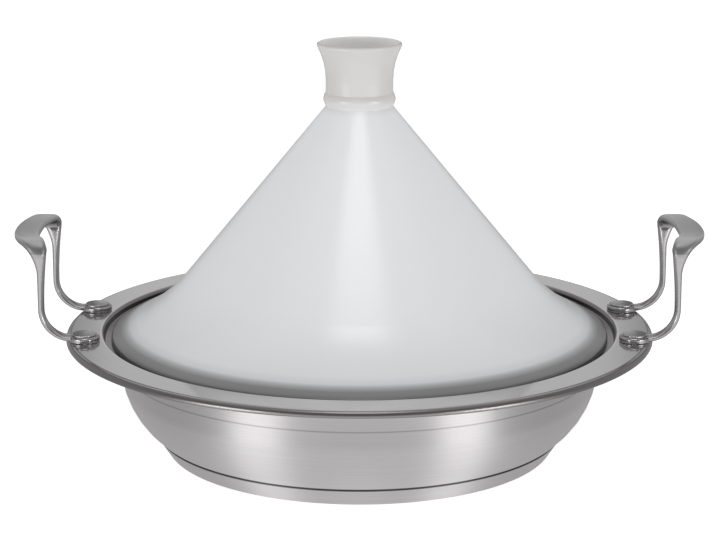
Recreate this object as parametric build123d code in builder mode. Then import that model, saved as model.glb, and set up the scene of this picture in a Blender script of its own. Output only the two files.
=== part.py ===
"""Tagine: a wide stainless pan with two cast handles and a loose conical ceramic lid.

Millimetres. +Z is up, the long side with the handles lies along X, and the origin is the centre
of the underside. Everything that seats on something else takes its height from it.
"""
from build123d import *
from math import cos, radians, sin, sqrt
import os

# Capped base
cap_setback = 20.4
cap_flare = 7.4
cap_height = 11.4
cap_sheet = 1.0
cap_corner = 2.5
core_thickness = 6.0

# Pan: one sheet, drawn to a bowl with an upright neck and a stepped rim
sheet = 2.0
wall_radius = 151.2
rim_height = 78.3
neck_radius = 15.0
neck_angle = 16.5
bowl_radius = 57.3
knuckle_radius = 12.0
knuckle_angle = 32.0
seat_width = 11.8
recess_depth = 5.3
flange_width = 24.0
lip_depth = 4.3
seat_bend = 4.0
recess_corner = 1.5
recess_edge = 2.5
lip_bend = 3.5

# Lid: a ceramic cone with a flared, rolled foot
lid_clearance = 4.5
lid_wall = 5.5
foot_height = 1.5
foot_roll = 3.0
foot_round = 1.0
brim_slope = 25.5
brim_length = 10.0
flare_radius = 100.0
cone_slope = 50.64
dome_radius = 12.0

# Knob on the lid: a hollow flared cup above a bead
knob_neck_radius = 21.25
knob_joint_radius = 21.0
bead_height = 8.3
bead_depth = 1.4
knob_neck_height = 7.8
knob_flare_radius = 46.0
knob_flare_angle = 28.0
knob_wall = 3.0
well_corner = 5.0

# Handles: cast loops of strap on two riveted eyes, each swelling to a crescent grip
rivet_inset = 10.7
eye_y = 37.7
eye_radius = 9.5
strap_thickness = 3.8
leg_width = 9.5
leg_reach = 28.3
leg_bend = 20.5
leg_lean = 3.4
swell_height = 42.0
swell_fullness = 0.5
shoulder_radius = 10.5
grip_height = 64.6
grip_sag = 1.2
grip_thickness = 4.0
grip_overhang = 17.6
grip_width = 16.6
cast_edge = 1.5
grip_edge = 2.3
section_count = 31

# Rivets
rivet_hole_radius = 3.1
rivet_clearance = 0.1
rivet_head_radius = 7.7
rivet_head_thickness = 1.8
rivet_head_rim = 1.0
rivet_tail_radius = 5.5
rivet_tail_thickness = 1.4
rivet_round = 0.6

# Heights and places that follow from the sizes above
pan_underside = cap_sheet + core_thickness
floor_top = pan_underside + sheet
seat_height = rim_height - recess_depth
cap_rim_radius = wall_radius - cap_setback
cap_foot_radius = cap_rim_radius - cap_flare
recess_radius = wall_radius + seat_width
foot_radius = recess_radius - lid_clearance
flange_radius = recess_radius + flange_width
eye_x = sqrt((flange_radius - rivet_inset) ** 2 - eye_y**2)
leg_outer = eye_x + leg_reach
leg_inner = leg_outer - strap_thickness
grip_outer = leg_outer + grip_overhang
grip_inner = grip_outer - grip_width
bowl_angle = 90 - knuckle_angle - neck_angle
upper_angle = knuckle_angle + bowl_angle
floor_radius = (
    wall_radius
    - knuckle_radius * sin(radians(knuckle_angle))
    - bowl_radius * (sin(radians(upper_angle)) - sin(radians(knuckle_angle)))
    - neck_radius * (1 - sin(radians(upper_angle)))
)

# Lengths along the outer skin of a handle's loop, from the middle of the grip to the leg's bend
half_grip = eye_y + leg_width / 2 - shoulder_radius
shoulder_length = radians(90) * shoulder_radius
shoulder_foot = grip_height + grip_sag - shoulder_radius
half_loop = half_grip + shoulder_length + shoulder_foot - leg_bend
swell_length = half_grip + shoulder_length + shoulder_foot - swell_height


def bowl_curve(depth):
    """Draw the bowl from the centre of its floor to its wall, depth mm inside the outer skin."""
    floor = Line((0, pan_underside + depth), (floor_radius, pan_underside + depth))
    knuckle = JernArc(floor @ 1, floor % 1, knuckle_radius - depth, knuckle_angle)
    bowl = JernArc(knuckle @ 1, knuckle % 1, bowl_radius - depth, bowl_angle)
    return JernArc(bowl @ 1, bowl % 1, neck_radius - depth, neck_angle)


def lid_skin(depth):
    """Draw the lid's brim, flare and cone up to the knob, depth mm inside the outer skin."""
    roll_turn = radians(90 - brim_slope)
    brim_start = Vector(
        foot_radius - foot_roll * (1 - cos(roll_turn)) - depth * sin(radians(brim_slope)),
        seat_height + foot_height + foot_roll * sin(roll_turn) - depth * cos(radians(brim_slope)),
    )
    brim = PolarLine(brim_start, brim_length, 180 - brim_slope)
    flare = JernArc(brim @ 1, brim % 1, flare_radius + depth, brim_slope - cone_slope)
    reach = (flare @ 1).X - knob_joint_radius
    cone = PolarLine(flare @ 1, reach / cos(radians(cone_slope)), 180 - cone_slope)
    return brim_start, cone


# Section of everything inside the pan's outer skin, which the base is formed against
with BuildSketch(Plane.XZ) as bowl_inside:
    with BuildLine():
        neck = bowl_curve(0)
        Polyline(neck @ 1, (0, (neck @ 1).Y), (0, pan_underside))
    make_face()

with BuildPart() as pan_body:
    with BuildSketch(Plane.XZ):
        with BuildLine():
            neck = bowl_curve(sheet)
            FilletPolyline(
                neck @ 1,
                (wall_radius - sheet, seat_height),
                (recess_radius, seat_height),
                (recess_radius, rim_height),
                (flange_radius, rim_height),
                (flange_radius, rim_height - lip_depth),
                radius=[seat_bend, recess_corner, recess_edge, lip_bend],
            )
            offset(amount=sheet, side=Side.RIGHT)
        make_face()
    revolve(axis=Axis.Z)
    with BuildSketch(Plane.XY.offset(rim_height)):
        with GridLocations(2 * eye_x, 2 * eye_y, 2, 2):
            Circle(rivet_hole_radius)
    extrude(amount=-2 * sheet, mode=Mode.SUBTRACT)
pan_body.part.label = "pan_body"

with BuildPart() as base_cap:
    with BuildSketch(Plane.XZ) as cap_section:
        with BuildLine():
            FilletPolyline(
                (0, 0),
                (cap_foot_radius, 0),
                (cap_rim_radius, cap_height),
                radius=cap_corner,
            )
            offset(amount=cap_sheet, side=Side.LEFT)
        make_face()
        add(bowl_inside.sketch, mode=Mode.SUBTRACT)
    revolve(axis=Axis.Z)
base_cap.part.label = "base_cap"

with BuildPart() as base_core:
    with BuildSketch(Plane.XZ):
        with BuildLine():
            side = FilletPolyline(
                (0, 0),
                (cap_foot_radius, 0),
                (cap_rim_radius, cap_height),
                radius=cap_corner,
            )
            Polyline(side @ 1, (0, cap_height), (0, 0))
        make_face()
        add(cap_section.sketch, mode=Mode.SUBTRACT)
        add(bowl_inside.sketch, mode=Mode.SUBTRACT)
    revolve(axis=Axis.Z)
base_core.part.label = "base_core"

with BuildSketch(Plane.XZ) as lid_cavity:
    with BuildLine():
        brim_start, cone = lid_skin(lid_wall)
        Polyline(
            cone @ 1,
            (0, (cone @ 1).Y),
            (0, seat_height - lid_wall),
            (brim_start.X, seat_height - lid_wall),
            brim_start,
        )
    make_face()
    fillet(lid_cavity.vertices().group_by(Axis.Y)[-1].sort_by(Axis.X)[-1], dome_radius)

with BuildPart() as lid:
    with BuildSketch(Plane.XZ) as lid_section:
        with BuildLine():
            brim_start, cone = lid_skin(0)
            bead_foot = cone @ 1
            bead_top = Vector(knob_neck_radius, bead_foot.Y + bead_height)
            bead_crest = Vector(knob_neck_radius + bead_depth, bead_foot.Y + bead_height / 2)
            ThreePointArc(bead_foot, bead_crest, bead_top)
            neck = Line(bead_top, bead_top + Vector(0, knob_neck_height))
            flare = JernArc(neck @ 1, neck % 1, knob_flare_radius, -knob_flare_angle)
            lip = JernArc(flare @ 1, flare % 1, knob_wall / 2, 180)
            inner = JernArc(lip @ 1, lip % 1, knob_flare_radius + knob_wall, knob_flare_angle)
            well = FilletPolyline(
                inner @ 1,
                ((inner @ 1).X, bead_foot.Y),
                (0, bead_foot.Y),
                radius=well_corner,
            )
            foot = Line((foot_radius, seat_height), (foot_radius, seat_height + foot_height))
            JernArc(foot @ 1, foot % 1, foot_roll, 90 - brim_slope)
            Polyline(well @ 1, (0, seat_height), foot @ 0)
        make_face()
        add(lid_cavity.sketch, mode=Mode.SUBTRACT)
        seat_corners = lid_section.vertices().group_by(Axis.Y)[0]
        fillet(seat_corners, foot_round)
    revolve(axis=Axis.Z)
lid.part.label = "lid"


def loop_section(distance):
    """Section of a handle's loop, at a distance along its outer skin from the middle of the grip."""
    run = abs(distance)
    side = -1 if distance < 0 else 1
    turn = radians(90) * min(max((run - half_grip) / shoulder_length, 0), 1)
    reach = max(1 - run / swell_length, 0)
    swell = sin(radians(90) * reach * (1 + swell_fullness * (1 - reach))) ** 2
    thickness = leg_width - (leg_width - grip_thickness) * swell
    y = min(run, half_grip) + (shoulder_radius - thickness / 2) * sin(turn)
    top = grip_height + grip_sag * min(run / half_grip, 1) ** 2
    drop = shoulder_radius * (1 - cos(turn)) + max(run - half_grip - shoulder_length, 0)
    height = top - drop - thickness / 2 * cos(turn)
    rise = max(height - leg_bend, 0) / (grip_height - leg_bend)
    lean = leg_lean * (1 - cos(radians(90) * rise))
    bay = (grip_inner - leg_inner + leg_lean) * max(1 - (y / eye_y) ** 3, 0)
    inner = leg_inner - lean + bay
    outer = leg_outer + grip_overhang * swell
    place = Plane(
        ((inner + outer) / 2, side * y, rim_height + height),
        x_dir=(1, 0, 0),
        z_dir=(0, cos(turn), -side * sin(turn)),
    )
    with BuildSketch(place) as section:
        Rectangle(outer - inner, thickness)
        fillet(section.vertices().group_by(Axis.Y)[0], cast_edge)
        fillet(section.vertices().group_by(Axis.Y)[-1], cast_edge + (grip_edge - cast_edge) * swell)
    return section.sketch.face()


with BuildPart() as foot:
    with BuildLine(Plane.XZ) as foot_path:
        middle = rim_height + strap_thickness / 2
        sole = Line((eye_x, middle), (leg_outer - leg_bend, middle))
        JernArc(sole @ 1, sole % 1, leg_bend - strap_thickness / 2, 90)
    with BuildSketch(Plane(foot_path.line @ 0, x_dir=(0, 1, 0), z_dir=(1, 0, 0))):
        RectangleRounded(leg_width, strap_thickness, cast_edge)
    sweep()

with BuildPart() as handle_right:
    step = 2 * half_loop / (section_count - 1)
    loft([loop_section(index * step - half_loop) for index in range(section_count)])
    with Locations((0, -eye_y, 0), (0, eye_y, 0)):
        add(foot.part)
    with BuildSketch(Plane.XY.offset(rim_height)):
        with Locations((eye_x, -eye_y), (eye_x, eye_y)):
            Circle(eye_radius)
    extrude(amount=strap_thickness)
    with BuildSketch(Plane.XY.offset(rim_height)):
        with Locations((eye_x, -eye_y), (eye_x, eye_y)):
            Circle(rivet_hole_radius)
    extrude(amount=strap_thickness, mode=Mode.SUBTRACT)
handle_right.part.label = "handle_right"

with BuildPart() as handle_left:
    mirror(handle_right.part, about=Plane.YZ)
handle_left.part.label = "handle_left"


def rivet(name, x, y):
    """Make one rivet: a low domed head on the eye, a shank and a formed button underneath."""
    shank_radius = rivet_hole_radius - rivet_clearance
    head_seat = rim_height + strap_thickness
    head_edge = head_seat + rivet_head_rim
    head_top = head_seat + rivet_head_thickness
    tail_seat = rim_height - sheet
    tail_end = tail_seat - rivet_tail_thickness
    with BuildPart() as piece:
        with BuildSketch(Plane((x, y, 0), x_dir=(1, 0, 0), z_dir=(0, -1, 0))) as section:
            with BuildLine():
                Polyline(
                    (0, tail_end),
                    (rivet_tail_radius, tail_end),
                    (rivet_tail_radius, tail_seat),
                    (shank_radius, tail_seat),
                    (shank_radius, head_seat),
                    (rivet_head_radius, head_seat),
                    (rivet_head_radius, head_edge),
                )
                TangentArc((0, head_top), (rivet_head_radius, head_edge), tangent=(1, 0))
                Line((0, head_top), (0, tail_end))
            make_face()
            head_rim = section.vertices().group_by(Axis.X)[-1].sort_by(Axis.Y)[-1]
            tail_rim = section.vertices().group_by(Axis.Y)[0].sort_by(Axis.X)[-1]
            fillet([head_rim, tail_rim], rivet_round)
        revolve(axis=Axis((x, y, 0), (0, 0, 1)))
    piece.part.label = name
    return piece


rivets = [
    rivet(f"rivet_{side}_{end}", x, y)
    for side, x in (("left", -eye_x), ("right", eye_x))
    for end, y in (("front", -eye_y), ("back", eye_y))
]

os.makedirs("parts", exist_ok=True)
for piece in (pan_body, base_cap, base_core, handle_left, handle_right, lid, *rivets):
    export_step(piece.part, f"parts/{piece.part.label}.step")
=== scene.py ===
from math import atan, ceil, cos, degrees, pi, radians, sin, sqrt, tan

import bmesh
import bpy
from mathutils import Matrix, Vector


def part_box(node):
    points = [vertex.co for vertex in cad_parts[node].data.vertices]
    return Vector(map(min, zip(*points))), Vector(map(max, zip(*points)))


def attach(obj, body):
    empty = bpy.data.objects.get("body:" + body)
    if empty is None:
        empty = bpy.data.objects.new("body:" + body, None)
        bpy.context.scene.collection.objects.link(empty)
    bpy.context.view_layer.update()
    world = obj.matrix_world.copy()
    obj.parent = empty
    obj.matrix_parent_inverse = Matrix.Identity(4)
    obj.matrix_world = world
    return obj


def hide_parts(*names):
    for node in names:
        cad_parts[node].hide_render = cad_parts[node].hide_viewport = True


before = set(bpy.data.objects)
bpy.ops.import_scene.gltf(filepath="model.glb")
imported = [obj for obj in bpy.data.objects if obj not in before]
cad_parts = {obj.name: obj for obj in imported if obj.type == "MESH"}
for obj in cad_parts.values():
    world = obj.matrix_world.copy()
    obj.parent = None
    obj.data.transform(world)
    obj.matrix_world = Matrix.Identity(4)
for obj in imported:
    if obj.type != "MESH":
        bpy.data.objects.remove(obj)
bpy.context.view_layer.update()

# Sizes are in millimetres until they become a mesh
MM = 0.001

# Places read from the frame
RIM_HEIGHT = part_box("pan_body")[1].z / MM
FLANGE_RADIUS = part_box("pan_body")[1].x / MM
SEAT_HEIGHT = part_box("lid")[0].z / MM
FOOT_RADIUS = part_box("lid")[1].x / MM

# Sizes of the solids that the smooth pieces stand for
# The pan's sheet; a bend is its outer radius and the degrees that it turns
SHEET = 2.0
UNDERSIDE = 7.0
WALL_RADIUS = 151.2
RECESS_RADIUS = 163.0
KNUCKLE = (12.0, 32.0)
BOWL = (57.3, 41.5)
NECK = (15.0, 16.5)
LIP_DEPTH = 4.3
# The cap under the base
CAP_FOOT_RADIUS = 123.4
CAP_RIM_RADIUS = 130.8
CAP_HEIGHT = 11.4
# The lid, with its slopes in degrees
BRIM_SLOPE = 25.5
CONE_SLOPE = 50.64
KNOB_JOINT_RADIUS = 21.0
KNOB_JOINT_HEIGHT = 221.12
LID_WALL = 5.5
# The handles; heights are above the flange, and the swell is the widening from leg to grip
EYE_Y = 37.7
EYE_X = sqrt((FLANGE_RADIUS - 10.7) ** 2 - EYE_Y**2)
EYE_RADIUS = 9.5
STRAP = 3.8
LEG_WIDTH = 9.5
LEG_OUTER = EYE_X + 28.3
LEG_BEND = 20.5
LEG_LEAN = 3.4
SHOULDER = 10.5
GRIP_HEIGHT = 64.6
GRIP_SAG = 1.2
GRIP_THICKNESS = 4.0
GRIP_OVERHANG = 17.6
GRIP_WIDTH = 16.6
SWELL_HEIGHT = 42.0
SWELL_FULLNESS = 0.5
# The rivets
RIVET_HEAD_RADIUS = 7.7
RIVET_TAIL_RADIUS = 5.5
SHANK_RADIUS = 3.0

# Where one finish gives way to the next: the fine line on the bowl above the ground, the polished
# rim down from the flange, and the satin skin of the grips up from it
POLISH_LINE_HEIGHT = 54.4
POLISHED_DEPTH = 7.5
SATIN_EDGE = 56.0

# The photograph's frame and the view that its ellipses give
PHOTO_WIDTH = 716
PHOTO_HEIGHT = 540
AXIS_PIXEL_X = 359.5
RIM_PIXEL_Y = 325.0
VIEW_ELEVATION = radians(15.18)
VIEW_DISTANCE = 1.5
FOCAL_PIXELS = 2335.7
SENSOR_WIDTH = 36.0

# Fineness of the meshes: degrees of an arc, lengths along a handle, and points round an axis
ARC_STEP = 9.0
BEND_STEP = 5
EASE = 0.15
LOOP_STEP = 1.4
RING_POINTS = 40
TURN_STEPS = 256
EYE_STEPS = 96
RIVET_STEPS = 64


class Outline:
    """A path in a half plane through an axis, drawn with straight runs and arcs."""

    def __init__(self, radius, height, heading):
        self.stations = [(radius, height, radians(heading))]

    def run(self, length):
        """Go straight; a point just inside each end keeps the shading of a long run flat."""
        radius, height, heading = self.stations[-1]
        for along in [EASE, length - EASE, length] if length > 4 * EASE else [length]:
            self.stations.append(
                (radius + along * cos(heading), height + along * sin(heading), heading)
            )

    def run_to(self, radius=None, height=None, short=0.0):
        """Go straight to a radius or a height, and stop short of it."""
        here, level, heading = self.stations[-1]
        if radius is None:
            self.run((height - level) / sin(heading) - short)
        else:
            self.run((radius - here) / cos(heading) - short)

    def arc(self, bend, turn):
        """Turn left by so many degrees, or right if they are negative."""
        radius, height, heading = self.stations[-1]
        side = 1 if turn > 0 else -1
        middle_radius = radius - side * bend * sin(heading)
        middle_height = height + side * bend * cos(heading)
        steps = max(2, ceil(abs(turn) / ARC_STEP))
        for step in range(1, steps + 1):
            angle = heading + radians(turn) * step / steps
            self.stations.append((
                middle_radius + side * bend * sin(angle),
                middle_height - side * bend * cos(angle),
                angle,
            ))

    def skin(self, depth=0.0):
        """The points of the path, moved to its right by a depth."""
        return [
            (radius + depth * sin(angle), height - depth * cos(angle))
            for radius, height, angle in self.stations
        ]


def turn_section(mesh, section, centre=(0.0, 0.0), steps=TURN_STEPS):
    """Turn a section, which begins and ends on its axis, round a vertical line."""
    on_axis = 0.001
    rings = []
    for radius, height in section:
        if radius < on_axis:
            rings.append([mesh.verts.new((centre[0] * MM, centre[1] * MM, height * MM))] * steps)
            continue
        rings.append([
            mesh.verts.new((
                (centre[0] + radius * cos(2 * pi * i / steps)) * MM,
                (centre[1] + radius * sin(2 * pi * i / steps)) * MM,
                height * MM,
            ))
            for i in range(steps)
        ])
    for ring, following in zip(rings, rings[1:]):
        for i in range(steps):
            corners = [ring[i - 1], ring[i], following[i], following[i - 1]]
            mesh.faces.new(dict.fromkeys(corners))


def make_piece(mesh, name, body, slot, nodes, *materials):
    """Make a smooth piece that stands for CAD nodes and moves with their body."""
    bmesh.ops.recalc_face_normals(mesh, faces=mesh.faces)
    for face in mesh.faces:
        face.smooth = True
    data = bpy.data.meshes.new(name)
    mesh.to_mesh(data)
    mesh.free()
    for material in materials:
        data.materials.append(material)
    piece = bpy.data.objects.new(name, data)
    bpy.context.scene.collection.objects.link(piece)
    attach(piece, body)
    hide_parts(*nodes)


def make_pan(brushed, polished):
    """The pressed shell: floor, bowl, neck, seat, recess, flange and turned-down lip."""
    seat_bend, recess_corner, recess_edge, lip_bend, cut_round = 4.0, 1.5, 2.5, 3.5, 0.5
    bowl_end = radians(KNUCKLE[1] + BOWL[1])
    floor_radius = (
        WALL_RADIUS
        - KNUCKLE[0] * sin(radians(KNUCKLE[1]))
        - BOWL[0] * (sin(bowl_end) - sin(radians(KNUCKLE[1])))
        - NECK[0] * (1 - sin(bowl_end))
    )
    # The upper face from the middle of the floor to the cut edge of the lip, and then the under
    # face, a sheet's thickness below it, back to the middle
    top = Outline(0, UNDERSIDE + SHEET, 0)
    top.run_to(radius=floor_radius)
    for bend, turn in (KNUCKLE, BOWL, NECK):
        top.arc(bend - SHEET, turn)
    top.run_to(height=SEAT_HEIGHT, short=seat_bend)
    top.arc(seat_bend, -90)
    top.run_to(radius=RECESS_RADIUS, short=recess_corner)
    top.arc(recess_corner, 90)
    top.run_to(height=RIM_HEIGHT, short=recess_edge)
    top.arc(recess_edge, -90)
    top.run_to(radius=FLANGE_RADIUS, short=lip_bend)
    top.arc(lip_bend, -90)
    top.run_to(height=RIM_HEIGHT - LIP_DEPTH, short=cut_round)
    under = top.skin(SHEET)
    top.arc(cut_round, -90)
    top.run(SHEET - 2 * cut_round)
    top.arc(cut_round, -90)
    mesh = bmesh.new()
    turn_section(mesh, top.skin() + under[:-1][::-1])
    for face in mesh.faces:
        middle = face.calc_center_median()
        face.material_index = int(middle.z > (RIM_HEIGHT - POLISHED_DEPTH) * MM)
    make_piece(mesh, "pan_shell", "pan", "pan_steel", ["pan_body"], brushed, polished)


def make_cap(material):
    """The drawn dish under the base; its rolled edge leaves a fine groove against the bowl."""
    corner, edge_round, sheet = 2.5, 0.45, 1.0
    rise = 90 - degrees(atan((CAP_RIM_RADIUS - CAP_FOOT_RADIUS) / CAP_HEIGHT))
    outside = Outline(0, 0, 0)
    outside.run_to(radius=CAP_FOOT_RADIUS, short=corner * tan(radians(rise) / 2))
    outside.arc(corner, rise)
    outside.run_to(height=CAP_HEIGHT, short=edge_round)
    inside = outside.skin(-sheet)
    outside.arc(edge_round, 90)
    mesh = bmesh.new()
    turn_section(mesh, outside.skin() + inside[:-1][::-1])
    make_piece(mesh, "cap_dish", "pan", "cap_steel", ["base_cap"], material)


def make_lid(material):
    """The glazed cone with its rolled foot and hollow knob, as one closed section."""
    foot_height, foot_roll, foot_round, brim, flare = 1.5, 3.0, 1.0, 10.0, 100.0
    bead_height, bead_depth, bead_turn, crease, well_corner = 8.3, 1.525, 76.0, 0.8, 5.0
    knob_neck, knob_flare, knob_turn, knob_wall = 7.8, 46.0, 28.0, 3.0
    ceiling_height, dome, inner_cone = 212.45, 12.0, 139.15
    dome_corner = dome * tan(radians(CONE_SLOPE) / 2)
    bead_bend = bead_height**2 / (8 * bead_depth) + bead_depth / 2
    crease_turn = 180 - CONE_SLOPE - (90 - bead_turn / 2)
    # Inside, from the middle of the ceiling down to the foot
    skin = Outline(0, ceiling_height, 0)
    skin.run_to(radius=KNOB_JOINT_RADIUS, short=dome_corner)
    skin.arc(dome, -CONE_SLOPE)
    skin.run(inner_cone - dome_corner)
    skin.arc(flare + LID_WALL, CONE_SLOPE - BRIM_SLOPE)
    # Under and round the rolled foot
    skin.run_to(height=SEAT_HEIGHT, short=foot_round * tan(radians(BRIM_SLOPE) / 2))
    skin.arc(foot_round, BRIM_SLOPE)
    skin.run_to(radius=FOOT_RADIUS, short=foot_round)
    skin.arc(foot_round, 90)
    skin.run_to(height=SEAT_HEIGHT + foot_height)
    skin.arc(foot_roll, 90 - BRIM_SLOPE)
    # Up the brim and the cone
    skin.run(brim)
    skin.arc(flare, BRIM_SLOPE - CONE_SLOPE)
    skin.run_to(radius=KNOB_JOINT_RADIUS, short=crease * tan(radians(crease_turn) / 2))
    # Over the bead, up the knob, round its rim and down into its well
    skin.arc(crease, -crease_turn)
    skin.arc(bead_bend, bead_turn)
    skin.arc(crease, -bead_turn / 2)
    skin.run_to(height=KNOB_JOINT_HEIGHT + bead_height + knob_neck)
    skin.arc(knob_flare, -knob_turn)
    skin.arc(knob_wall / 2, 180)
    skin.arc(knob_flare + knob_wall, knob_turn)
    skin.run_to(height=KNOB_JOINT_HEIGHT, short=well_corner)
    skin.arc(well_corner, -90)
    skin.run_to(radius=0)
    mesh = bmesh.new()
    turn_section(mesh, skin.skin())
    make_piece(mesh, "lid_casting", "lid", "lid_ceramic", ["lid"], material)


def ring_at(middle, across, along, half_across, half_along, fullness):
    """Points of a rounded bar's section: an oval at fullness 2, and squarer as it grows."""
    points = []
    for i in range(RING_POINTS):
        angle = 2 * pi * i / RING_POINTS
        out, up = (
            abs(value) ** (2 / fullness) * (1 if value >= 0 else -1)
            for value in (cos(angle), sin(angle))
        )
        points.append(middle + Vector(across) * half_across * out + Vector(along) * half_along * up)
    return points


def handle_rings():
    """Sections of a handle from the middle of its grip to the centre of the eye behind it.

    A run leads along half the grip, round the shoulder and down the leg. The swell falls along it
    from 1 in the grip to 0 in the leg, and sets the width and the thickness on the way.
    """
    leg_fullness, grip_fullness = 2.5, 4.5
    leg_inner = LEG_OUTER - STRAP
    grip_inner = LEG_OUTER + GRIP_OVERHANG - GRIP_WIDTH
    half_grip = EYE_Y + LEG_WIDTH / 2 - SHOULDER
    shoulder_length = radians(90) * SHOULDER
    leg_length = GRIP_HEIGHT + GRIP_SAG - SHOULDER - LEG_BEND
    swell_length = half_grip + shoulder_length + leg_length + LEG_BEND - SWELL_HEIGHT
    loop = half_grip + shoulder_length + leg_length
    rings = []
    count = ceil(loop / LOOP_STEP)
    for station in range(count + 1):
        run = loop * station / count
        turn = radians(90) * min(max((run - half_grip) / shoulder_length, 0), 1)
        reach = max(1 - run / swell_length, 0)
        swell = sin(radians(90) * reach * (1 + SWELL_FULLNESS * (1 - reach))) ** 2
        thickness = LEG_WIDTH - (LEG_WIDTH - GRIP_THICKNESS) * swell
        y = min(run, half_grip) + (SHOULDER - thickness / 2) * sin(turn)
        top = GRIP_HEIGHT + GRIP_SAG * min(run / half_grip, 1) ** 2
        drop = SHOULDER * (1 - cos(turn)) + max(run - half_grip - shoulder_length, 0)
        height = top - drop - thickness / 2 * cos(turn)
        rise = max(height - LEG_BEND, 0) / (GRIP_HEIGHT - LEG_BEND)
        bay = (grip_inner - leg_inner + LEG_LEAN) * max(1 - (y / EYE_Y) ** 3, 0)
        inner = leg_inner - LEG_LEAN * (1 - cos(radians(90) * rise)) + bay
        outer = LEG_OUTER + GRIP_OVERHANG * swell
        rings.append(ring_at(
            Vector(((inner + outer) / 2, y, RIM_HEIGHT + height)),
            (1, 0, 0), (0, sin(turn), cos(turn)),
            (outer - inner) / 2, thickness / 2,
            leg_fullness + (grip_fullness - leg_fullness) * swell,
        ))
    bend = LEG_BEND - STRAP / 2
    for degree in range(BEND_STEP, 91, BEND_STEP):
        angle = radians(degree)
        rings.append(ring_at(
            Vector((LEG_OUTER - LEG_BEND + bend * cos(angle), EYE_Y,
                    RIM_HEIGHT + LEG_BEND - bend * sin(angle))),
            (cos(angle), 0, -sin(angle)), (0, 1, 0), STRAP / 2, LEG_WIDTH / 2, leg_fullness,
        ))
    # The strap runs on into the eye, a hair thinner so that neither of its faces lies in the eye's
    sole_thickness = STRAP - EASE
    for share in (0.4, 1.0):
        rings.append(ring_at(
            Vector((LEG_OUTER - LEG_BEND - share * (LEG_OUTER - LEG_BEND - EYE_X), EYE_Y,
                    RIM_HEIGHT + STRAP / 2)),
            (0, 0, -1), (0, 1, 0), sole_thickness / 2, LEG_WIDTH / 2, leg_fullness,
        ))
    return rings


def make_handle(name, side, polished, satin):
    """One cast loop with its two eyes; side is 1 for the right-hand one and -1 for the other."""
    half = handle_rings()
    flipped = [[Vector((p.x, -p.y, p.z)) for p in ring] for ring in half[:0:-1]]
    mesh = bmesh.new()
    rings = [
        [mesh.verts.new((side * p.x * MM, p.y * MM, p.z * MM)) for p in ring]
        for ring in flipped + half
    ]
    # The satin skin lies on the top of the grip and turns just over its outer and inner edges
    crown = RING_POINTS // 4
    inner_edge, outer_edge = 0.54 * RING_POINTS, 0.96 * RING_POINTS
    for ring, following in zip(rings, rings[1:]):
        in_grip = min(ring[crown].co.z, following[crown].co.z) > (RIM_HEIGHT + SATIN_EDGE) * MM
        for i in range(RING_POINTS):
            face = mesh.faces.new((ring[i - 1], ring[i], following[i], following[i - 1]))
            on_top = i <= inner_edge or i > outer_edge
            face.material_index = int(on_top and in_grip)
    mesh.faces.new(rings[0])
    mesh.faces.new(rings[-1])
    foot_round, top_round = 0.6, 1.6
    eye = Outline(0, RIM_HEIGHT, 0)
    eye.run_to(radius=EYE_RADIUS, short=foot_round)
    eye.arc(foot_round, 90)
    eye.run_to(height=RIM_HEIGHT + STRAP, short=top_round)
    eye.arc(top_round, 90)
    eye.run_to(radius=0)
    for y in (-EYE_Y, EYE_Y):
        turn_section(mesh, eye.skin(), (side * EYE_X, y), EYE_STEPS)
    make_piece(mesh, name + "_casting", "pan", "handle_steel", [name], polished, satin)


def make_rivet(name, x, y, material):
    """A low domed head on the eye, a shank and a formed button under the flange."""
    head_seat = RIM_HEIGHT + STRAP
    tail_seat = RIM_HEIGHT - SHEET
    head_side, dome_bend, dome_turn = 1.0, 37.5, 10.9
    tail_height, head_round, tail_round, edge = 1.4, 0.6, 0.6, 0.1
    shape = Outline(0, tail_seat - tail_height, 0)
    shape.run_to(radius=RIVET_TAIL_RADIUS, short=tail_round)
    shape.arc(tail_round, 90)
    shape.run_to(height=tail_seat, short=edge)
    shape.arc(edge, 90)
    shape.run_to(radius=SHANK_RADIUS, short=edge)
    shape.arc(edge, -90)
    shape.run_to(height=head_seat, short=edge)
    shape.arc(edge, -90)
    shape.run_to(radius=RIVET_HEAD_RADIUS, short=edge)
    shape.arc(edge, 90)
    shape.run_to(height=head_seat + head_side, short=0.8 * head_round)
    shape.arc(head_round, 90 - dome_turn)
    shape.arc(dome_bend, dome_turn)
    section = shape.skin()
    # The dome's arc ends beside the axis by a hair, so its last point is put on it
    section[-1] = (0.0, section[-1][1])
    mesh = bmesh.new()
    turn_section(mesh, section, (x, y), RIVET_STEPS)
    make_piece(mesh, name + "_turned", "pan", "rivet_steel", [name], material)


def linear(hex_colour):
    """An sRGB hex colour as the linear RGBA that shaders take."""
    channels = [int(hex_colour[i:i + 2], 16) / 255 for i in (0, 2, 4)]
    return tuple(
        c / 12.92 if c <= 0.04045 else ((c + 0.055) / 1.055) ** 2.4 for c in channels
    ) + (1.0,)


def grey(value):
    """A linear grey, for ramps that hold a brightness or a share and not a colour."""
    return (value, value, value, 1.0)


def add_node(tree, kind, settings=None, links=None):
    """Add a node with its properties and sockets set, and its inputs linked to other outputs.

    A socket is named, or numbered where a node has two inputs of one name.
    """
    node = tree.nodes.new(kind)
    for name, value in (settings or {}).items():
        if isinstance(name, str) and hasattr(node, name):
            setattr(node, name, value)
        else:
            node.inputs[name].default_value = value
    for name, source in (links or {}).items():
        tree.links.new(source, node.inputs[name])
    return node


def set_ramp(ramp, stops):
    """Give a colour ramp its stops, as pairs of position and linear colour."""
    elements = ramp.color_ramp.elements
    while len(elements) < len(stops):
        elements.new(1.0)
    for element, (position, colour) in zip(elements, stops):
        element.position = position
        element.color = colour


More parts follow.
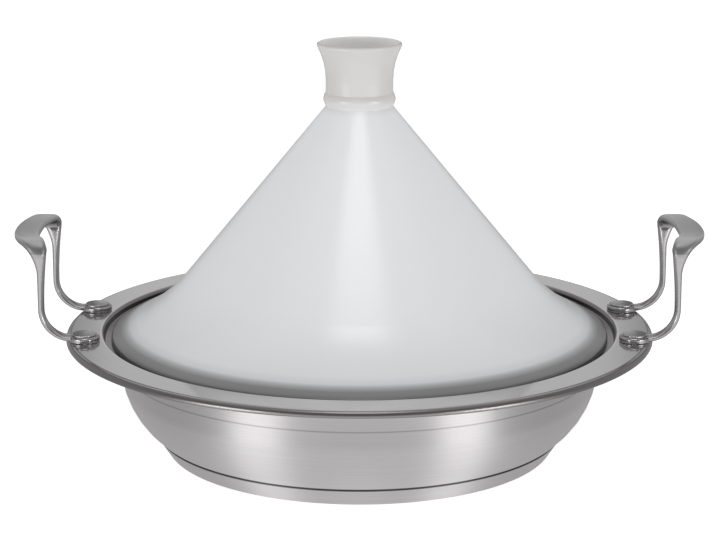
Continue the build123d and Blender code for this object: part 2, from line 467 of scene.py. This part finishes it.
def new_material(name, settings):
    """A material with one Principled shader; returns the material, its tree and the shader."""
    material = bpy.data.materials.new(name)
    material.use_nodes = True
    tree = material.node_tree
    shader = tree.nodes["Principled BSDF"]
    for socket, value in settings.items():
        shader.inputs[socket].default_value = value
    return material, tree, shader


def height_share(tree, low, high):
    """The share of the way from one height to another, as a node output from 0 to 1."""
    place = add_node(tree, "ShaderNodeTexCoord")
    split = add_node(tree, "ShaderNodeSeparateXYZ", links={"Vector": place.outputs["Object"]})
    share = add_node(
        tree, "ShaderNodeMapRange", {"From Min": low * MM, "From Max": high * MM},
        {"Value": split.outputs["Z"]},
    )
    return share.outputs["Result"]


def faces_out(tree):
    """1 where a surface looks away from the Z axis, else 0, as a node output.

    The test value is the outward part of the normal times the distance from the axis, in metres.
    """
    away_from_axis = 0.002
    place = add_node(tree, "ShaderNodeTexCoord")
    outward = add_node(
        tree, "ShaderNodeVectorMath", {"operation": "MULTIPLY", 1: (1, 1, 0)},
        {0: place.outputs["Object"]},
    )
    surface = add_node(tree, "ShaderNodeNewGeometry")
    facing = add_node(
        tree, "ShaderNodeVectorMath", {"operation": "DOT_PRODUCT"},
        {0: surface.outputs["Normal"], 1: outward.outputs["Vector"]},
    )
    return add_node(
        tree, "ShaderNodeMath", {"operation": "GREATER_THAN", 1: away_from_axis},
        {0: facing.outputs["Value"]},
    ).outputs["Value"]


def tint(tree, colour, share):
    """A colour times a share, as a node output."""
    return add_node(
        tree, "ShaderNodeVectorMath", {"operation": "MULTIPLY"}, {0: colour, 1: share},
    ).outputs["Vector"]


def glazed_stoneware():
    """White glaze over stoneware, dipped and fired.

    It gives a soft gloss on a surface that is never quite even. Its foot greys as painted shade
    where it rolls under into the seat, its knob is a darker, warmer white as painted shade, and
    the hollow inside the knob is a lighter white as painted light.
    """
    foot_band, knob_from, knob_to = 12, -4, 6
    material, tree, shader = new_material("glazed_white_stoneware", {
        "Roughness": 0.24, "IOR": 1.5,
    })
    # Painted shade: the glaze greys towards the foot, where the lid rolls under into the seat
    foot = height_share(tree, SEAT_HEIGHT, SEAT_HEIGHT + foot_band)
    skin = add_node(tree, "ShaderNodeValToRGB", links={"Fac": foot})
    set_ramp(skin, [
        (0.0, linear("505050")), (0.22, linear("6C6C6B")), (0.3, linear("7D7D7C")),
        (0.52, linear("858585")), (0.64, linear("ABACAD")), (0.76, linear("D6D8DB")),
        (1.0, linear("E4E5E7")),
    ])
    # Painted shade: the knob is a darker, warmer white than the cone
    knob = height_share(tree, KNOB_JOINT_HEIGHT + knob_from, KNOB_JOINT_HEIGHT + knob_to)
    skin = add_node(
        tree, "ShaderNodeMix", {"data_type": "RGBA", "B": linear("CAC8C7")},
        {"Factor": knob, "A": skin.outputs["Color"]},
    )
    # Painted light: the hollow inside the knob is a lighter white than the knob's outside
    inward = add_node(
        tree, "ShaderNodeMath", {"operation": "SUBTRACT", 0: 1.0}, {1: faces_out(tree)},
    )
    well_painted_light = add_node(
        tree, "ShaderNodeMath", {"operation": "MULTIPLY"}, {0: inward.outputs["Value"], 1: knob},
    )
    skin = add_node(
        tree, "ShaderNodeMix", {"data_type": "RGBA", "B": linear("F4F2F1")},
        {"Factor": well_painted_light.outputs["Value"], "A": skin.outputs["Result"]},
    )
    tree.links.new(skin.outputs["Result"], shader.inputs["Base Color"])
    # Glaze pools in swells some 6 mm wide
    place = add_node(tree, "ShaderNodeTexCoord")
    swells = add_node(
        tree, "ShaderNodeTexNoise", {"Scale": 1 / (6 * MM), "Detail": 2.0},
        {"Vector": place.outputs["Object"]},
    )
    bump = add_node(
        tree, "ShaderNodeBump", {"Strength": 0.05, "Distance": 0.2 * MM},
        {"Height": swells.outputs["Fac"]},
    )
    tree.links.new(bump.outputs["Normal"], shader.inputs["Normal"])
    return material


def around_axis(tree, along, across):
    """Texture coordinates that run round the Z axis, so that a noise streaks along circles.

    They count so many steps a radian along a circle, and so many a metre across the circles.
    """
    place = add_node(tree, "ShaderNodeTexCoord")
    split = add_node(tree, "ShaderNodeSeparateXYZ", links={"Vector": place.outputs["Object"]})
    flat = add_node(
        tree, "ShaderNodeVectorMath", {"operation": "MULTIPLY", 1: (1, 1, 0)},
        {0: place.outputs["Object"]},
    )
    radius = add_node(
        tree, "ShaderNodeVectorMath", {"operation": "LENGTH"}, {0: flat.outputs["Vector"]},
    )
    angle = add_node(
        tree, "ShaderNodeMath", {"operation": "ARCTAN2"},
        {0: split.outputs["Y"], 1: split.outputs["X"]},
    )
    turn, out, up = (
        add_node(tree, "ShaderNodeMath", {"operation": "MULTIPLY", 1: scale}, {0: source})
        for scale, source in (
            (along, angle.outputs["Value"]),
            (across, radius.outputs["Value"]),
            (across, split.outputs["Z"]),
        )
    )
    return add_node(
        tree, "ShaderNodeCombineXYZ",
        links={"X": turn.outputs["Value"], "Y": out.outputs["Value"], "Z": up.outputs["Value"]},
    ).outputs["Vector"]


def brush_round(tree, shader, lowest, highest):
    """Brush lines round the axis; returns their roughness, between two values, and brightness.

    Real lines lie some 0.05 mm apart, finer than a pixel, so they are drawn at 0.7 mm.
    """
    streaks = add_node(
        tree, "ShaderNodeTexNoise", {"Scale": 1.0, "Detail": 3.0, "Roughness": 0.6},
        {"Vector": around_axis(tree, 1.2, 1 / (0.7 * MM))},
    )
    rough = add_node(
        tree, "ShaderNodeMapRange", {"To Min": lowest, "To Max": highest},
        {"Value": streaks.outputs["Fac"]},
    )
    bright = add_node(
        tree, "ShaderNodeMapRange",
        {"From Min": 0.3, "From Max": 0.7, "To Min": 0.95, "To Max": 1.05},
        {"Value": streaks.outputs["Fac"]},
    )
    bump = add_node(
        tree, "ShaderNodeBump", {"Strength": 0.08, "Distance": 0.05 * MM},
        {"Height": streaks.outputs["Fac"]},
    )
    tree.links.new(bump.outputs["Normal"], shader.inputs["Normal"])
    tangent = add_node(tree, "ShaderNodeTangent", {"direction_type": "RADIAL", "axis": "Z"})
    tree.links.new(tangent.outputs["Tangent"], shader.inputs["Tangent"])
    return rough.outputs["Result"], bright.outputs["Result"]


def brushed_bowl():
    """Stainless sheet, brushed round on a lathe after pressing.

    It gives highlights that stand upright on the bowl, a fine polish line under the neck, and a
    dark joint to the cap, which is painted shade in its groove. Neither mark is on the inside of
    the pan. The sheet is also painted a little darker down towards the cap, as shade.
    """
    edge_round, joint_fade, line_fade = 0.5, 0.012, 0.008
    material, tree, shader = new_material("stainless_sheet_brushed_round", {
        "Metallic": 1.0, "Anisotropic": 0.95, "Anisotropic Rotation": 0.25,
    })
    height = height_share(tree, UNDERSIDE, RIM_HEIGHT)
    line = (POLISH_LINE_HEIGHT - UNDERSIDE) / (RIM_HEIGHT - UNDERSIDE)
    joint = (CAP_HEIGHT + edge_round - UNDERSIDE) / (RIM_HEIGHT - UNDERSIDE)
    # Painted shade: the sheet darkens a little from the polish line down to the cap
    sheet = add_node(tree, "ShaderNodeValToRGB", links={"Fac": height})
    set_ramp(sheet, [(joint, linear("D3D0D1")), (line, linear("DCD9DA"))])
    # The polish line is a real mark; the dark joint above the cap is painted shade in its groove
    polish_line_and_joint_shade = add_node(tree, "ShaderNodeValToRGB", links={"Fac": height})
    set_ramp(polish_line_and_joint_shade, [
        (joint, grey(0.32)), (joint + joint_fade, grey(1)),
        (line - line_fade, grey(1)), (line, grey(0.55)), (line + line_fade, grey(1)),
    ])
    polish_line_and_joint_shade = add_node(
        tree, "ShaderNodeMix", {"data_type": "RGBA", "A": grey(1)},
        {"Factor": faces_out(tree), "B": polish_line_and_joint_shade.outputs["Color"]},
    )
    rough, bright = brush_round(tree, shader, 0.44, 0.56)
    colour = tint(tree, tint(tree, sheet.outputs["Color"], polish_line_and_joint_shade.outputs["Result"]), bright)
    tree.links.new(colour, shader.inputs["Base Color"])
    tree.links.new(rough, shader.inputs["Roughness"])
    return material


def polished_rim():
    """The same sheet at the seat, flange and lip, buffed on a wheel.

    It gives a flat top that mirrors the lid, and duller bends, which the wheel misses. The seat,
    the bends and the lip are painted darker as shade.
    """
    band, top_from, top_to = 8.0, 0.5, 0.1
    material, tree, shader = new_material("stainless_sheet_polished", {"Metallic": 1.0})
    height = height_share(tree, RIM_HEIGHT - band, RIM_HEIGHT)
    # Painted shade: dark over the seat, the bends and the lip; light below and on the flat top
    sheet = add_node(tree, "ShaderNodeValToRGB", links={"Fac": height})
    set_ramp(sheet, [
        (0.24, linear("DEDBDC")), (0.37, linear("8A8787")), (0.73, linear("7E7B7B")),
        (0.93, linear("7E7B7B")), (0.98, linear("CCCACA")),
    ])
    rough, bright = brush_round(tree, shader, 0.08, 0.12)
    colour = tint(tree, sheet.outputs["Color"], bright)
    tree.links.new(colour, shader.inputs["Base Color"])
    top = height_share(tree, RIM_HEIGHT - top_from, RIM_HEIGHT - top_to)
    finish = add_node(
        tree, "ShaderNodeMix", {"data_type": "FLOAT", "A": 0.3}, {"Factor": top, "B": rough},
    )
    tree.links.new(finish.outputs["Result"], shader.inputs["Roughness"])
    return material


def cap_steel():
    """Stainless dish, drawn and then brushed round like the bowl above it.

    It gives the same upright highlights, and a rolled edge at the joint that is painted dark as
    shade in the groove.
    """
    joint_shade_band = 1.0
    material, tree, shader = new_material("stainless_cap_brushed_round", {
        "Metallic": 1.0, "Anisotropic": 0.95, "Anisotropic Rotation": 0.25,
    })
    # Painted shade: the top of the rolled edge darkens into the groove at the joint
    edge = height_share(tree, CAP_HEIGHT - joint_shade_band, CAP_HEIGHT)
    sheet = add_node(tree, "ShaderNodeValToRGB", links={"Fac": edge})
    set_ramp(sheet, [(0.3, linear("D2CFD0")), (0.7, linear("6A6869"))])
    rough, bright = brush_round(tree, shader, 0.42, 0.54)
    colour = tint(tree, sheet.outputs["Color"], bright)
    tree.links.new(colour, shader.inputs["Base Color"])
    tree.links.new(rough, shader.inputs["Roughness"])
    return material


def polished_casting():
    """Investment-cast stainless, tumbled and polished, on the eyes and legs.

    It gives crisp glints low down, and a polish that fades in the hollow under the grip, where it
    is also painted darker as shade.
    """
    fade_from, fade_to = 40, 62
    material, tree, shader = new_material("stainless_casting_polished", {"Metallic": 1.0})
    # Painted shade: the legs darken up into the hollow under the grip
    up = height_share(tree, RIM_HEIGHT + fade_from, RIM_HEIGHT + fade_to)
    steel_with_painted_shade = add_node(tree, "ShaderNodeValToRGB", links={"Fac": up})
    set_ramp(steel_with_painted_shade, [
        (0.0, linear("A19F9F")), (0.6, linear("A8A6A6")), (0.8, linear("8F8E8E")),
        (1.0, linear("585757")),
    ])
    tree.links.new(steel_with_painted_shade.outputs["Color"], shader.inputs["Base Color"])
    rough = add_node(tree, "ShaderNodeMapRange", {"To Min": 0.22, "To Max": 0.35}, {"Value": up})
    tree.links.new(rough.outputs["Result"], shader.inputs["Roughness"])
    return material


def satin_casting():
    """The same casting with a blasted skin, on top of the grips.

    It gives a soft sheen without glints. Its colour is painted shade, darkest low on the shoulders
    and lightest on the top. The grit leaves pits of some 0.1 mm, which are drawn at 0.9 mm
    to show.
    """
    shoulder, top = 55, 67
    material, tree, shader = new_material("stainless_casting_satin", {
        "Metallic": 1.0, "Roughness": 0.46,
    })
    # Painted shade: the satin darkens down the shoulders and is lightest on the top
    up = height_share(tree, RIM_HEIGHT + shoulder, RIM_HEIGHT + top)
    steel_with_painted_shade = add_node(tree, "ShaderNodeValToRGB", links={"Fac": up})
    set_ramp(steel_with_painted_shade, [
        (0.0, linear("6E6D6D")), (0.3, linear("868585")), (0.62, linear("9C9B9B")),
        (0.8, linear("C6C5C5")), (0.92, linear("E2E1E1")),
    ])
    tree.links.new(steel_with_painted_shade.outputs["Color"], shader.inputs["Base Color"])
    place = add_node(tree, "ShaderNodeTexCoord")
    pits = add_node(
        tree, "ShaderNodeTexNoise", {"Scale": 1 / (0.9 * MM), "Detail": 2.0},
        {"Vector": place.outputs["Object"]},
    )
    bump = add_node(
        tree, "ShaderNodeBump", {"Strength": 0.15, "Distance": 0.05 * MM},
        {"Height": pits.outputs["Fac"]},
    )
    tree.links.new(bump.outputs["Normal"], shader.inputs["Normal"])
    return material


def polished_rivet():
    """Turned stainless rivets, set with a press and rubbed bright on the dome.

    They give a clear glint each, uneven from wear in patches some 1.5 mm wide. The foot of the
    head and all below it are painted darker as shade, on the eye and under the flange.
    """
    below, above = 1, 1
    material, tree, shader = new_material("stainless_rivet_polished", {
        "Metallic": 1.0, "Anisotropic": 0.4,
    })
    head_seat = RIM_HEIGHT + STRAP
    # Painted shade: darker below the head's seat, on the eye and under the flange
    up = height_share(tree, head_seat - below, head_seat + above)
    steel_with_painted_shade = add_node(tree, "ShaderNodeValToRGB", links={"Fac": up})
    set_ramp(steel_with_painted_shade, [(0.3, linear("8C8A8A")), (0.6, linear("ACAAAA"))])
    tree.links.new(steel_with_painted_shade.outputs["Color"], shader.inputs["Base Color"])
    place = add_node(tree, "ShaderNodeTexCoord")
    wear = add_node(
        tree, "ShaderNodeTexNoise", {"Scale": 1 / (1.5 * MM), "Detail": 3.0},
        {"Vector": place.outputs["Object"]},
    )
    rough = add_node(
        tree, "ShaderNodeMapRange", {"To Min": 0.2, "To Max": 0.32},
        {"Value": wear.outputs["Fac"]},
    )
    tree.links.new(rough.outputs["Result"], shader.inputs["Roughness"])
    return material


def rolled_aluminium():
    """Aluminium plate as the mill rolled it.

    It gives a pale dull metal with fine lines along one direction. They lie closer than 0.1 mm on
    real plate and are drawn at 0.5 mm.
    """
    along, across = 4.0, 1 / (0.5 * MM)
    material, tree, shader = new_material("aluminium_plate_mill_rolled", {
        "Base Color": linear("DADBDD"), "Metallic": 1.0,
    })
    place = add_node(tree, "ShaderNodeTexCoord")
    lines = add_node(
        tree, "ShaderNodeVectorMath", {"operation": "MULTIPLY", 1: (along, across, across)},
        {0: place.outputs["Object"]},
    )
    streaks = add_node(
        tree, "ShaderNodeTexNoise", {"Scale": 1.0, "Detail": 2.0},
        {"Vector": lines.outputs["Vector"]},
    )
    rough = add_node(
        tree, "ShaderNodeMapRange", {"To Min": 0.28, "To Max": 0.42},
        {"Value": streaks.outputs["Fac"]},
    )
    tree.links.new(rough.outputs["Result"], shader.inputs["Roughness"])
    return material


def add_camera():
    """Set the camera where the ellipses of the flange, seat and body put it."""
    pitch_up = atan((RIM_PIXEL_Y - PHOTO_HEIGHT / 2) / FOCAL_PIXELS)
    yaw = atan((AXIS_PIXEL_X - PHOTO_WIDTH / 2) / FOCAL_PIXELS)
    data = bpy.data.cameras.new("camera")
    data.sensor_width = SENSOR_WIDTH
    data.lens = FOCAL_PIXELS * SENSOR_WIDTH / PHOTO_WIDTH
    camera = bpy.data.objects.new("camera", data)
    camera.location = (
        0,
        -VIEW_DISTANCE * cos(VIEW_ELEVATION),
        RIM_HEIGHT * MM + VIEW_DISTANCE * sin(VIEW_ELEVATION),
    )
    camera.rotation_euler = (pi / 2 - VIEW_ELEVATION + pitch_up, 0, yaw)
    bpy.context.scene.collection.objects.link(camera)
    bpy.context.scene.camera = camera


def add_floor():
    """A pale floor that runs far past the view, lit from within so that it stays white."""
    floor_width = 12
    bpy.ops.mesh.primitive_plane_add(size=floor_width)
    floor = bpy.context.object
    floor.name = "floor"
    material = new_material("lit_white_acrylic_floor", {
        "Base Color": linear("F5F5F5"), "Roughness": 0.9,
        "Emission Color": linear("FFFFFF"), "Emission Strength": 0.66,
    })[0]
    floor.data.materials.append(material)
    floor.visible_glossy = False


def add_softbox(name, location, target, width, height, power):
    """A rectangular area light that looks at a point."""
    data = bpy.data.lights.new(name, "AREA")
    data.shape = "RECTANGLE"
    data.size = width
    data.size_y = height
    data.energy = power
    light = bpy.data.objects.new(name, data)
    light.location = location
    direction = Vector(target) - Vector(location)
    light.rotation_euler = direction.to_track_quat("-Z", "Y").to_euler()
    bpy.context.scene.collection.objects.link(light)


def studio_room():
    """The room that the metal mirrors, bright in front and darker behind.

    Its brightness goes by the height of the direction looked at, and in each half also by how far
    that direction lies to the side.
    """
    world = bpy.data.worlds.new("studio")
    world.use_nodes = True
    tree = world.node_tree
    place = add_node(tree, "ShaderNodeTexCoord")
    split = add_node(tree, "ShaderNodeSeparateXYZ", links={"Vector": place.outputs["Generated"]})
    behind = add_node(
        tree, "ShaderNodeMapRange",
        {"interpolation_type": "SMOOTHSTEP", "From Min": -0.6, "From Max": 0.3},
        {"Value": split.outputs["Y"]},
    )
    height = add_node(
        tree, "ShaderNodeMapRange", {"From Min": -1.0, "From Max": 1.0},
        {"Value": split.outputs["Z"]},
    )
    beside = add_node(
        tree, "ShaderNodeMath", {"operation": "ABSOLUTE"}, {0: split.outputs["X"]},
    )
    # In front, a bright low band that the bowl mirrors, under a dim ceiling
    front = add_node(tree, "ShaderNodeValToRGB", links={"Fac": height.outputs["Result"]})
    set_ramp(front, [
        (0.0, grey(0.9)), (0.3, grey(1.1)), (0.42, grey(1.55)), (0.5, grey(1.3)),
        (0.56, grey(0.5)), (0.64, grey(0.27)), (1.0, grey(0.28)),
    ])
    # Dark wings far out at the sides, which shade the turn of the bowl
    wings = add_node(tree, "ShaderNodeValToRGB", links={"Fac": beside.outputs["Value"]})
    set_ramp(wings, [(0.85, grey(1)), (0.93, grey(0.8)), (1.0, grey(0.55))])
    # Behind, an even and dimmer wall
    back = add_node(tree, "ShaderNodeValToRGB", links={"Fac": height.outputs["Result"]})
    set_ramp(back, [
        (0.0, grey(0.8)), (0.35, grey(0.6)), (0.46, grey(0.5)), (0.54, grey(0.62)),
        (0.64, grey(0.64)), (0.8, grey(0.5)), (1.0, grey(0.4)),
    ])
    # A pale panel straight behind the object between darker gaps, which the flange mirrors
    panel = add_node(tree, "ShaderNodeValToRGB", links={"Fac": beside.outputs["Value"]})
    set_ramp(panel, [
        (0.0, grey(0.93)), (0.06, grey(1)), (0.105, grey(0.97)), (0.13, grey(0.42)),
        (0.24, grey(0.34)), (0.4, grey(1)), (1.0, grey(0.95)),
    ])
    room = add_node(
        tree, "ShaderNodeMix", {"data_type": "RGBA"},
        {
            "Factor": behind.outputs["Result"],
            "A": tint(tree, front.outputs["Color"], wings.outputs["Color"]),
            "B": tint(tree, back.outputs["Color"], panel.outputs["Color"]),
        },
    )
    tree.links.new(room.outputs["Result"], tree.nodes["Background"].inputs["Color"])
    return world


def add_light():
    """Plain studio light: a pale room, a low softbox at each side and two above."""
    scene = bpy.context.scene
    # Standard keeps the glaze as white as it is in the photograph
    scene.view_settings.view_transform = "Standard"
    scene.world = studio_room()
    # The side softboxes stand low, or the flange would mirror them when seen from behind
    middle = (0, 0, 0.1)
    add_softbox("left_softbox", (-1.45, -1.35, 0.24), middle, 0.86, 0.4, 7.8)
    add_softbox("right_softbox", (1.5, -1.35, 0.24), middle, 0.86, 0.4, 8.3)
    add_softbox("front_softbox", (0, -0.83, 2.03), middle, 0.9, 0.4, 5.5)
    add_softbox("top_softbox", (0, 0.4, 3.2), middle, 5.0, 5.0, 28)


make_pan(brushed_bowl(), polished_rim())
make_cap(cap_steel())
make_lid(glazed_stoneware())
polished, satin = polished_casting(), satin_casting()
make_handle("handle_left", -1, polished, satin)
make_handle("handle_right", 1, polished, satin)
rivet_steel = polished_rivet()
for side, x in (("left", -EYE_X), ("right", EYE_X)):
    for end, y in (("front", -EYE_Y), ("back", EYE_Y)):
        make_rivet(f"rivet_{side}_{end}", x, y, rivet_steel)
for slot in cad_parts["base_core"].material_slots:
    slot.material = rolled_aluminium()

add_camera()
add_floor()
add_light()
